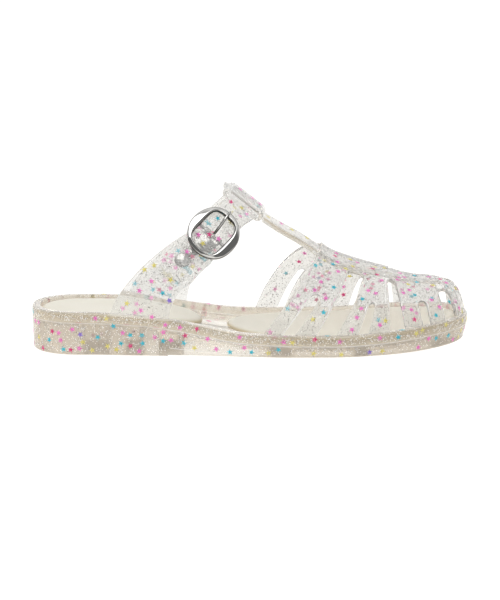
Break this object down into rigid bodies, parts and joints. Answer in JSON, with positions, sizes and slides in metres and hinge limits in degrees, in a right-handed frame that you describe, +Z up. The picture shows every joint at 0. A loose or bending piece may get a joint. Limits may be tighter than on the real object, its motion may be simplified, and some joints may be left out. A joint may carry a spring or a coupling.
{
  "type": "fisherman mule",
  "caption": "Clear moulded fisherman mule for the right foot: split closed-toe vamp, T-bar with keeper loop, buckled instep strap, open back, hollow-celled sole and foam insole pads.",
  "frame": {"origin": "on the floor under the middle of the sole's length and width", "axes": "+X from the heel to the toe, +Y to the inner side of the foot, +Z up from the floor"},
  "size_m": [0.26, 0.0928, 0.0961],
  "materials": {
    "sole_pvc": "clear warm-tinted PVC with glitter and star confetti cast in",
    "upper_pvc": "clear PVC with glitter and star confetti cast in",
    "heel_foam": "matte cream foam",
    "forefoot_foam": "matte cream foam",
    "frame_chrome": "bright chrome",
    "prong_chrome": "bright chrome",
    "clip_chrome": "bright chrome"
  },
  "bodies": {
    "root": {"sole": "sole_pvc", "upper": "upper_pvc", "insole_heel_pad": "heel_foam", "insole_forefoot_pad": "forefoot_foam", "buckle_frame": "frame_chrome", "buckle_prong": "prong_chrome", "buckle_clip": "clip_chrome"}
  },
  "joints": []
}
